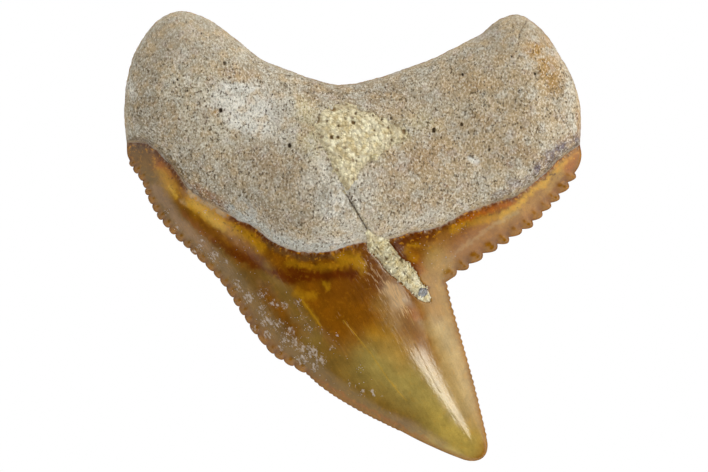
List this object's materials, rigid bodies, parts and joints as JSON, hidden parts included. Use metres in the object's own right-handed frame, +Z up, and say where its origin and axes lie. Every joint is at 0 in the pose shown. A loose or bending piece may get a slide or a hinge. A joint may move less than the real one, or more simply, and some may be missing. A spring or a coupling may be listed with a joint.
{
  "type": "fossil shark tooth",
  "caption": "Fossil tiger shark tooth: a bulging arched root on a notched blade crown with serrated edges, and cemented sand in a hollow and a split.",
  "frame": {"origin": "middle of the tooth's outline, on the surface that its flat outer face lies on", "axes": "+Z up through the tooth from its flat outer face to its bulging inner face; +Y from the cusp's point towards the root; +X from the long shoulder towards the notched shoulder"},
  "size_m": [0.0302, 0.0296, 0.0064],
  "materials": {
    "tooth": "satin",
    "sand": "matte"
  },
  "bodies": {
    "root": {"tooth": "tooth", "sand_patch": "sand", "sand_fill": "sand"}
  },
  "joints": []
}
